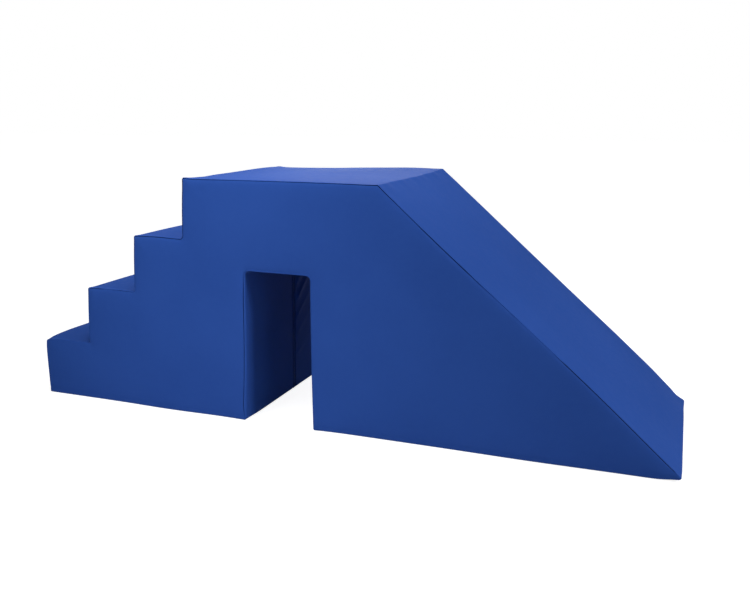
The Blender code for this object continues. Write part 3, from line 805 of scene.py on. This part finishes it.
def side_panel(name, side, seed):
    """A side panel: its rim round the long edge, and the flat field inside it."""
    along = loop_distances()
    count = len(along)
    points, normals, bulge, radius, seam = section_at(along)
    to_field = radius * math.pi / 2 - seam
    gathers = ripple(along, seed)
    fit = thin_toe(points[:, 0])
    openness = keyed(along, OPEN_KEYS)
    pillow = SIDE_PILLOW * keyed(along, DRAWN_KEYS)
    rows = [np.full(count, away) for away, depth in WALLS]
    rows += [np.maximum(share * to_field, RIM_LEAST) for share in RIM_SHARES]
    groove = groove_depths(openness, len(rows))
    layers = []
    for row, from_seam in enumerate(rows):
        inset = (sinking(from_seam, gathers, pillow, openness) + groove[:, row]) * fit
        y_away, depth = rim_section(seam + from_seam, radius, inset)
        layers.append(raised(points, normals, EDGE_CROWN * bulge - depth, side * y_away))
    # The distances that place the painted seam shade round the rim, pushed off where the seam is drawn
    # flush
    seam_shade_distance = [from_seam + (1.0 - openness) * SEAM_SHADE_FADE for from_seam in rows]

    border = layers[-1][:, [0, 2]]
    field, field_faces, origins = fill_border(border, along, radius)
    distance, nearest = nearest_on(field, border)
    from_seam = distance + to_field[nearest]
    inset = sinking(from_seam, gathers[nearest], pillow[nearest], openness[nearest]) * fit[nearest]
    crown = SIDE_CROWN * (1.0 - np.exp(-distance / SIDE_CROWN_REACH)) * fit[nearest]
    calm = np.minimum(distance / CALM_REACH, 1.0)
    flat = np.stack([field[:, 0], np.zeros(len(field)), field[:, 1]], axis=1)
    wave = unevenness(flat, SIDE_LUMPS, seed)
    dimples = -DIMPLE_DEPTH * smooth_step(lumps(flat, DIMPLE_WIDTH, seed + 7), *DIMPLE_RISE)
    flat[:, 1] = side * (WIDTH / 2 - inset + crown + (wave + dimples) * calm + side_creases(flat))

    last = (len(layers) - 1) * count
    number = {}
    for index, sources in enumerate(origins):
        number.update({index: last + source for source in sources if source < count})
    fresh = [index for index in range(len(flat)) if index not in number]
    number.update({index: last + count + place for place, index in enumerate(fresh)})
    faces = []
    for first in range(0, last, count):
        for column in range(count):
            following = (column + 1) % count
            below = first + count
            faces.append((first + column, first + following, below + following, below + column))
    triangles = [tuple(number[corner] for corner in face) for face in field_faces]
    corners = flat[list(field_faces[0])]
    facing = np.cross(corners[1] - corners[0], corners[2] - corners[0])[1]
    faces = flip(faces) if side < 0 else faces
    triangles = flip(triangles) if facing * side < 0 else triangles
    moved = push_about(np.concatenate(layers + [flat[fresh]]))
    seam_shade_distance = np.concatenate(seam_shade_distance + [from_seam[fresh]])
    return make_mesh(name, moved, faces + triangles, moved[:, [0, 2]], seam_shade_distance)


def give_thickness(item, thickness=FABRIC):
    """Turn a sheet of mesh into cloth with two faces."""
    modifier = item.modifiers.new("thickness", "SOLIDIFY")
    modifier.thickness = thickness
    modifier.offset = -1.0


def swept_band(name, rows, along, side):
    """A band that runs along the outline, with rows of a distance from the middle and a depth."""
    points, normals, bulge = outline_at(along)
    away, depth = (np.broadcast_to(values, (len(along), len(rows))) for values in np.array(rows).T)
    grid = raised(points, normals, -depth, side * away).reshape(-1, 3)
    faces = grid_faces(len(along), len(rows))
    faces = flip(faces) if side < 0 else faces
    return make_mesh(name, grid, faces, sewing_map(along, away))


def tube(name, path, guide, radius):
    """Round tubes along rows of points. The guide is a direction that no path runs along."""
    along = np.gradient(path, axis=1)
    along /= np.linalg.norm(along, axis=2)[..., None]
    first = np.cross(along, guide)
    first /= np.linalg.norm(first, axis=2)[..., None]
    second = np.cross(along, first)
    turns = (2 * math.pi * np.arange(ROUND_SIDES) / ROUND_SIDES)[:, None]
    ring = np.cos(turns) * first[:, :, None] + np.sin(turns) * second[:, :, None]
    points = (path[:, :, None] + radius * ring).reshape(-1, 3)
    count, steps = path.shape[:2]
    faces = []
    for one in range(count):
        lowest = one * steps * ROUND_SIDES
        last = lowest + (steps - 1) * ROUND_SIDES
        for start in range(lowest, last, ROUND_SIDES):
            for corner in range(ROUND_SIDES):
                following = (corner + 1) % ROUND_SIDES
                above = start + ROUND_SIDES
                faces.append((start + corner, start + following, above + following, above + corner))
        faces.append(tuple(lowest + corner for corner in reversed(range(ROUND_SIDES))))
        faces.append(tuple(last + corner for corner in range(ROUND_SIDES)))
    return make_mesh(name, points, faces, points[:, :2])


# Materials


class Nodes:
    """A node tree, and short ways to add nodes to it."""

    def __init__(self, tree):
        self.tree = tree

    def node(self, kind, **values):
        made = self.tree.nodes.new(kind)
        for key, value in values.items():
            setattr(made, key, value)
        return made

    def link(self, source, target):
        self.tree.links.new(source, target)

    def ramp(self, value, low, high, to_low=0.0, to_high=1.0):
        made = self.node("ShaderNodeMapRange")
        self.link(value, made.inputs["Value"])
        ends = {"From Min": low, "From Max": high, "To Min": to_low, "To Max": to_high}
        for key, end in ends.items():
            made.inputs[key].default_value = end
        return made.outputs["Result"]

    def calculate(self, operation, first, second):
        made = self.node("ShaderNodeMath", operation=operation)
        self.link(first, made.inputs[0])
        self.link(second, made.inputs[1])
        return made.outputs[0]

    def shown_white(self):
        """1 for rays that show the background itself, by eye, in metal or through glass."""
        path = self.node("ShaderNodeLightPath").outputs
        seen = self.calculate("MAXIMUM", path["Is Camera Ray"], path["Is Glossy Ray"])
        return self.calculate("MAXIMUM", seen, path["Is Transmission Ray"])


class Finish(Nodes):
    """A material with a principled shader, whose textures are placed in the object's own space."""

    def __init__(self, name):
        self.material = bpy.data.materials.new(name)
        self.material.use_nodes = True
        super().__init__(self.material.node_tree)
        self.shader = self.tree.nodes["Principled BSDF"]
        self.place = self.node("ShaderNodeTexCoord").outputs["Object"]

    def set(self, **values):
        """Give inputs of the shader a value, or link them to a node's output."""
        for key, value in values.items():
            socket = self.shader.inputs[key.replace("_", " ")]
            if isinstance(value, bpy.types.NodeSocket):
                self.link(value, socket)
            else:
                socket.default_value = value

    def texture(self, kind, **inputs):
        made = self.node(kind)
        self.link(self.place, made.inputs["Vector"])
        for key, value in inputs.items():
            made.inputs[key].default_value = value
        return made

    def speckle(self, scale, detail):
        return self.texture("ShaderNodeTexNoise", Scale=scale, Detail=detail).outputs["Fac"]

    def mix(self, factor, first, second):
        made = self.node("ShaderNodeMix", data_type="RGBA")
        for index, value in ((0, factor), (6, first), (7, second)):
            if isinstance(value, tuple):
                made.inputs[index].default_value = (*value, 1.0)
            else:
                self.link(value, made.inputs[index])
        return made.outputs[2]

    def bump(self, height, distance, strength, normal=None):
        made = self.node("ShaderNodeBump")
        made.inputs["Distance"].default_value = distance
        made.inputs["Strength"].default_value = strength
        self.link(height, made.inputs["Height"])
        if normal is not None:
            self.link(normal, made.inputs["Normal"])
        return made.outputs["Normal"]


def coated_fabric():
    """Blue coated fabric: fine leather grain, an uneven satin skin, and painted shade in the seams and
    on the hems' folds.
    """
    finish = Finish("coated_fabric")
    cloud = finish.speckle(2.6, 3.0)
    mottle = finish.speckle(55.0, 4.0)
    colour = finish.mix(finish.ramp(cloud, 0.3, 0.7), (0.0180, 0.0590, 0.264), (0.0212, 0.0670, 0.292))
    colour = finish.mix(finish.ramp(mottle, 0.35, 0.68, 0.0, 0.16), colour, (0.0265, 0.0770, 0.312))
    # Painted shade: within about 2 mm of an open seam, and on the hems' folds, the colour turns nearly
    # black, standing in for the shadow in the seam grooves and under the turned-in edges
    from_seam = finish.node("ShaderNodeAttribute", attribute_name="from_seam").outputs["Fac"]
    painted_seam_shade = finish.ramp(from_seam, 0.0015, 0.0024, 0.95, 0.0)
    colour = finish.mix(painted_seam_shade, colour, (0.0024, 0.0072, 0.032))
    cells = finish.texture("ShaderNodeTexVoronoi", Scale=760.0, Randomness=0.9)
    cells.feature = "SMOOTH_F1"
    normal = finish.bump(finish.speckle(42.0, 2.0), 0.0006, 0.10)
    normal = finish.bump(finish.speckle(240.0, 5.0), 0.0002, 0.35, normal)
    normal = finish.bump(cells.outputs["Distance"], 0.00018, 0.45, normal)
    rough = finish.ramp(mottle, 0.3, 0.7, 0.64, 0.76)
    finish.set(Base_Color=colour, Roughness=rough, Normal=normal, Specular_IOR_Level=0.018)
    return finish.material


def foam_finish():
    """Cream open-cell foam."""
    finish = Finish("foam")
    cells = finish.texture("ShaderNodeTexVoronoi", Scale=420.0).outputs["Distance"]
    cloud = finish.speckle(9.0, 4.0)
    colour = finish.mix(finish.ramp(cloud, 0.3, 0.7), (0.72, 0.64, 0.44), (0.82, 0.76, 0.58))
    colour = finish.mix(finish.ramp(cells, 0.15, 0.6, 0.4, 0.0), colour, (0.42, 0.36, 0.22))
    finish.set(Base_Color=colour, Normal=finish.bump(cells, 0.0006, 0.6), Roughness=0.95)
    return finish.material


def tape_finish():
    """Dark blue woven zip tape."""
    finish = Finish("zip_tape")
    twill = finish.texture("ShaderNodeTexWave", Scale=520.0, Distortion=1.2)
    twill.wave_type = "BANDS"
    twill.bands_direction = "DIAGONAL"
    weave = twill.outputs["Fac"]
    colour = finish.mix(weave, (0.020, 0.060, 0.250), (0.028, 0.080, 0.330))
    normal = finish.bump(weave, 0.0002, 0.7)
    finish.set(Base_Color=colour, Normal=normal, Roughness=0.85, Specular_IOR_Level=0.02)
    return finish.material


def thread_finish():
    """Dark blue polyester sewing thread."""
    finish = Finish("thread")
    twist = finish.speckle(700.0, 2.0)
    colour = finish.mix(twist, (0.010, 0.030, 0.140), (0.018, 0.052, 0.220))
    finish.set(Base_Color=colour, Normal=finish.bump(twist, 0.0001, 0.6), Roughness=0.6)
    return finish.material


def coil_finish():
    """Dark blue nylon coil."""
    finish = Finish("zip_coil")
    grain = finish.speckle(300.0, 3.0)
    colour = finish.mix(grain, (0.022, 0.064, 0.260), (0.032, 0.090, 0.350))
    rough = finish.ramp(grain, 0.3, 0.7, 0.50, 0.62)
    finish.set(Base_Color=colour, Roughness=rough, Specular_IOR_Level=0.04)
    return finish.material


def metal_finish():
    """Nickel-plated zip metal with fine rubbing marks."""
    finish = Finish("zip_metal")
    marks = finish.speckle(900.0, 4.0)
    colour = finish.mix(finish.speckle(120.0, 2.0), (0.46, 0.47, 0.49), (0.62, 0.62, 0.63))
    rough = finish.ramp(marks, 0.3, 0.7, 0.24, 0.42)
    finish.set(Base_Color=colour, Roughness=rough, Normal=finish.bump(marks, 0.00005, 0.3), Metallic=1.0)
    return finish.material


def softened_copy(node, name, softening):
    """A copy of a CAD node without its material, with its edges softened."""
    width, angle = softening
    item = node.copy()
    item.data = node.data.copy()
    item.name = name
    item.data.name = name
    bpy.context.scene.collection.objects.link(item)
    item.data.materials.clear()
    soften = item.modifiers.new("soften", "BEVEL")
    soften.width = width
    soften.segments = 2
    soften.angle_limit = math.radians(angle)
    return item


def take_place(item, node, finish, body="block"):
    """Put a made piece in the place of a CAD node, on its body."""
    item.data.materials.append(finish)
    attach(item, body)
    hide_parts(node)


def make_foam(finish):
    """The foam blocks: the slabs drawn in from the cover, with softened edges."""
    outline, outline_normals, _ = outline_at(np.arange(0.0, TOTAL, OUTLINE_STEP))
    reach = WIDTH / 2 - FOAM_INSET
    for name in FOAM:
        node = NODES[name]
        item = softened_copy(node, name.replace("foam_", "core_"), FOAM_SOFTENING)
        world = node.matrix_world
        back = world.inverted()
        points = np.array([world @ vertex.co for vertex in item.data.vertices])
        flat = points[:, [0, 2]]
        distance, spot = nearest_on(flat, outline)
        outside = ((flat - outline[spot]) * outline_normals[spot]).sum(axis=1)
        short = np.maximum(FOAM_INSET + outside, 0.0) * (distance < 2 * FOAM_INSET)
        flat -= outline_normals[spot] * short[:, None]
        drawn_in = np.stack([flat[:, 0], np.clip(points[:, 1], -reach, reach), flat[:, 1]], axis=1)
        drawn_in = push_about(drawn_in)
        drawn_in[:, 0] = np.minimum(drawn_in[:, 0], FOAM_TOE)
        for vertex, place in zip(item.data.vertices, drawn_in):
            vertex.co = back @ Vector(place)
        take_place(item, name, finish)


def on_runway(points):
    """1 on the stretch of the tunnel's right wall that the sliders travel, where the zip is parted."""
    x, height = points.T
    share = smooth_step(height, *RUNWAY_FOOT) * (1.0 - smooth_step(height, *RUNWAY_TOP))
    return share * (x > RIGHT_WALL_PAST)


def make_tapes(finish):
    """The zip's two woven tapes, sewn under the turned-in edges."""
    along = np.array(inner_distances(BASE_START + TAPE_END, BASE_END - TAPE_END))
    for ending, side in SIDES:
        item = swept_band(f"tape_{ending}", TAPE_ROWS, along, side)
        for row, share in enumerate(on_runway(outline_at(along)[0])):
            edge = item.data.vertices[row * len(TAPE_ROWS)]
            edge.co.y = side * (TAPE_MEETING + (TAPE_ROWS[0][0] - TAPE_MEETING) * share)
        give_thickness(item, TAPE_THICKNESS)
        take_place(item, f"zip_tape_{ending}", finish)


def make_coils(finish):
    """The zip's two coils, each a wound thread whose turns mesh with the other's."""
    start = BASE_START + CHAIN_END
    end = BASE_END - CHAIN_END
    turns = round((end - start) / COIL_PITCH)
    turned = np.arange(turns * COIL_STEPS + 1) / COIL_STEPS
    for ending, side in SIDES:
        shift = 0.0 if side < 0 else 0.5
        distance = start + (turned + shift) * (end - start) / (turns + 1)
        points, normals, bulge = outline_at(distance)
        along = np.stack([normals[:, 1], 0.0 * distance, -normals[:, 0]], axis=1)
        inner = COIL_INNER + (COIL_INNER_OPEN - COIL_INNER) * on_runway(points)
        middle = (inner + COIL_OUTER) / 2
        swing = (COIL_OUTER - inner) / 2
        turn = 2 * math.pi * turned
        y = side * (middle - swing * np.cos(turn))
        depth = COIL_DEPTH + COIL_SWING * np.sin(turn)
        path = raised(points, normals, -depth, y)
        item = tube(f"coil_{ending}", path[None], along[None], COIL_RADIUS)
        take_place(item, f"zip_coil_{ending}", finish)


def make_stitches(finish):
    """The rows of lockstitches that hold the tapes under the turned-in edges."""
    for ending, side in SIDES:
        for name, start, end in BASE_STRETCHES:
            count = round((end - start - 2 * STITCH_MARGIN) / STITCH_PITCH)
            starts = start + STITCH_MARGIN + STITCH_PITCH * np.arange(count)
            distance = starts[:, None] + STITCH_LENGTH * np.array(STITCH_SHARES)[None, :]
            points, normals, bulge = outline_at(distance.ravel())
            path = raised(points, normals, -np.tile(STITCH_DEPTHS, count), side * STITCH_Y)
            path = path.reshape(count, len(STITCH_SHARES), 3)
            guide = np.broadcast_to(np.array([0.0, 1.0, 0.0]), path.shape)
            item = tube(f"stitches_{name}_{ending}", path, guide, STITCH_RADIUS)
            item.data.materials.append(finish)
            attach(item, "block")


def make_end_tabs(fabric):
    """The tabs of cover fabric that close the zip's ends."""
    places = [
        ("zip_end_tab_slide", BASE_START + SEAM_HALF_GAP, BASE_START + TAB_END),
        ("zip_end_tab_stairs", BASE_END - TAB_END, BASE_END - SEAM_HALF_GAP),
    ]
    for node, start, end in places:
        along = np.array(inner_distances(start, end))
        across = np.linspace(-TAB_REACH, TAB_REACH, TAB_ROWS)
        rows = [(y, TAB_INSET + TAB_CURL * (y / TAB_REACH) ** 4) for y in across]
        item = swept_band(f"cover_{node}", rows, along, 1)
        give_thickness(item)
        take_place(item, node, fabric)


def make_metal(finish):
    """Sliders, pull tabs and end stops with softened edges."""
    bodies = {
        "zip_slider_lower": "lower_slider",
        "pull_tab_lower": "lower_tab",
        "zip_slider_upper": "upper_slider",
        "pull_tab_upper": "upper_tab",
        "zip_end_stop_slide": "block",
        "zip_end_stop_stairs": "block",
    }
    for name, body in bodies.items():
        shown_name = name.replace("zip_", "metal_").replace("pull_", "metal_")
        item = softened_copy(NODES[name], shown_name, METAL_SOFTENING)
        take_place(item, name, finish, body)


def make_cover(fabric):
    """All panels of the cover, each in its node's place."""
    panels = []
    for seed, (ending, side) in enumerate(SIDES, 1):
        item = side_panel(f"cover_side_{ending}", side, seed)
        panels.append((item, f"side_panel_{ending}", SIDE_FLAT, SIDE_AREA))
    strips = [
        ("riser_1_panel", FOOT, NOSING_1),
        ("tread_1_riser_2_panel", NOSING_1, NOSING_2),
        ("tread_2_riser_3_panel", NOSING_2, NOSING_3),
        ("tread_3_riser_4_panel", NOSING_3, NOSING_4),
        ("platform_slide_panel", NOSING_4, TOE_BOTTOM),
    ]
    for seed, (node, start, end) in enumerate(strips, 10):
        item = strip_panel(f"cover_{node}", SEAMS[start], SEAMS[end], seed)
        panels.append((item, node, (SEAMS[end] - SEAMS[start], WIDTH), None))
    halves = [
        ("base_panel_slide", BASE_START, SEAMS[TUNNEL_RIGHT]),
        ("tunnel_liner", SEAMS[TUNNEL_RIGHT], SEAMS[TUNNEL_LEFT]),
        ("base_panel_stairs", SEAMS[TUNNEL_LEFT], BASE_END),
    ]
    for place, (node, start, end) in enumerate(halves):
        for ending, side in SIDES:
            item = half_panel(f"cover_{node}_{ending}", start, end, side, 20 + 2 * place + side)
            flat = (end - start, WIDTH / 2 - ZIP_OPENING + TURNED_IN)
            panels.append((item, f"{node}_{ending}", flat, None))
    for item, node, flat, area in panels:
        give_thickness(item)
        take_place(item, node, fabric)


# Camera and light

CAMERA_PLACE = (1.0472, -2.6603, 1.0085)
CAMERA_YAW = 20.56
CAMERA_PITCH = 12.77
CAMERA_ROLL = 0.07
FOCAL_PIXELS = 824.6
PICTURE_WIDTH = 750
SENSOR = 36.0


def make_camera():
    """The photograph's viewpoint."""
    data = bpy.data.cameras.new("camera")
    data.sensor_width = SENSOR
    data.lens = FOCAL_PIXELS * SENSOR / PICTURE_WIDTH
    camera = bpy.data.objects.new("camera", data)
    turn = Matrix.Rotation(math.radians(CAMERA_YAW), 4, "Z")
    tilt = Matrix.Rotation(math.radians(90.0 - CAMERA_PITCH), 4, "X")
    roll = Matrix.Rotation(math.radians(CAMERA_ROLL), 4, "Z")
    camera.matrix_world = Matrix.Translation(CAMERA_PLACE) @ turn @ tilt @ roll
    bpy.context.scene.collection.objects.link(camera)
    bpy.context.scene.camera = camera


def make_lamp(name, place, target, size, power):
    """A square soft light that faces a point."""
    data = bpy.data.lights.new(name, "AREA")
    data.size = size
    data.energy = power
    lamp = bpy.data.objects.new(name, data)
    lamp.location = place
    lamp.rotation_euler = (Vector(target) - Vector(place)).to_track_quat("-Z", "Y").to_euler()
    lamp.visible_camera = False
    bpy.context.scene.collection.objects.link(lamp)


def make_world(ambient):
    """A white surround that lights the object less than it shows."""
    world = bpy.data.worlds.new("studio")
    world.use_nodes = True
    nodes = Nodes(world.node_tree)
    background = nodes.tree.nodes["Background"]
    background.inputs["Color"].default_value = (1.0, 1.0, 1.0, 1.0)
    nodes.link(nodes.ramp(nodes.shown_white(), 0.0, 1.0, ambient, 1.0), background.inputs["Strength"])
    bpy.context.scene.world = world


# The floor: its half width and height, how much light it gives back and how much it shows, and its
# glow, as the distances between which it grows and its values there
FLOOR_HALF_WIDTH = 30.0
FLOOR_HEIGHT = -0.0010
FLOOR_BOUNCE = 0.62
FLOOR_SHOWN = 0.42
FLOOR_GLOW = (1.5, 3.0, 0.87, 1.0)


def make_floor():
    """A pale floor that keeps the object's shadow."""
    mesh = bpy.data.meshes.new("floor")
    signs = ((-1, -1), (1, -1), (1, 1), (-1, 1))
    corners = [(x * FLOOR_HALF_WIDTH, y * FLOOR_HALF_WIDTH, 0) for x, y in signs]
    mesh.from_pydata(corners, [], [(0, 1, 2, 3)])
    floor = bpy.data.objects.new("floor", mesh)
    floor.location = (0.0, 0.0, FLOOR_HEIGHT)
    bpy.context.scene.collection.objects.link(floor)
    finish = Finish("floor")
    shown = finish.shown_white()
    away = finish.node("ShaderNodeVectorMath", operation="LENGTH")
    finish.link(finish.place, away.inputs[0])
    glow = finish.ramp(away.outputs["Value"], *FLOOR_GLOW)
    finish.set(
        Base_Color=finish.mix(shown, (FLOOR_BOUNCE,) * 3, (FLOOR_SHOWN,) * 3),
        Roughness=1.0,
        Specular_IOR_Level=0.0,
        Emission_Color=(1.0, 1.0, 1.0, 1.0),
        Emission_Strength=finish.calculate("MULTIPLY", shown, glow),
    )
    mesh.materials.append(finish.material)


make_camera()
fabric = coated_fabric()
make_cover(fabric)
make_foam(foam_finish())
make_end_tabs(fabric)
make_tapes(tape_finish())
make_coils(coil_finish())
make_stitches(thread_finish())
make_metal(metal_finish())

make_world(0.01)
make_lamp("overhead", (-0.43, 0.14, 1.52), (-0.2, 0.0, 0.4), 1.6, 8.9)
make_lamp("top_front", (-0.43, -0.85, 2.00), (-0.1, 0.0, 0.4), 0.9, 17.3)
make_lamp("front", (-0.45, -1.68, 0.53), (-0.1, 0.0, 0.3), 1.1, 10.6)
make_lamp("right_high", (4.30, -0.80, 3.00), (0.5, 0.0, 0.3), 1.4, 168.0)
make_lamp("right_front", (4.30, -3.00, 2.00), (0.5, 0.0, 0.3), 1.4, 18.0)
make_lamp("back", (-0.43, 1.20, 1.20), (-0.3, 0.0, 0.6), 1.0, 9.4)
make_lamp("far", (-0.25, 2.30, 0.36), (-0.1, 0.0, 0.3), 0.7, 11.0)
make_floor()
bpy.context.scene.view_settings.view_transform = "Standard"
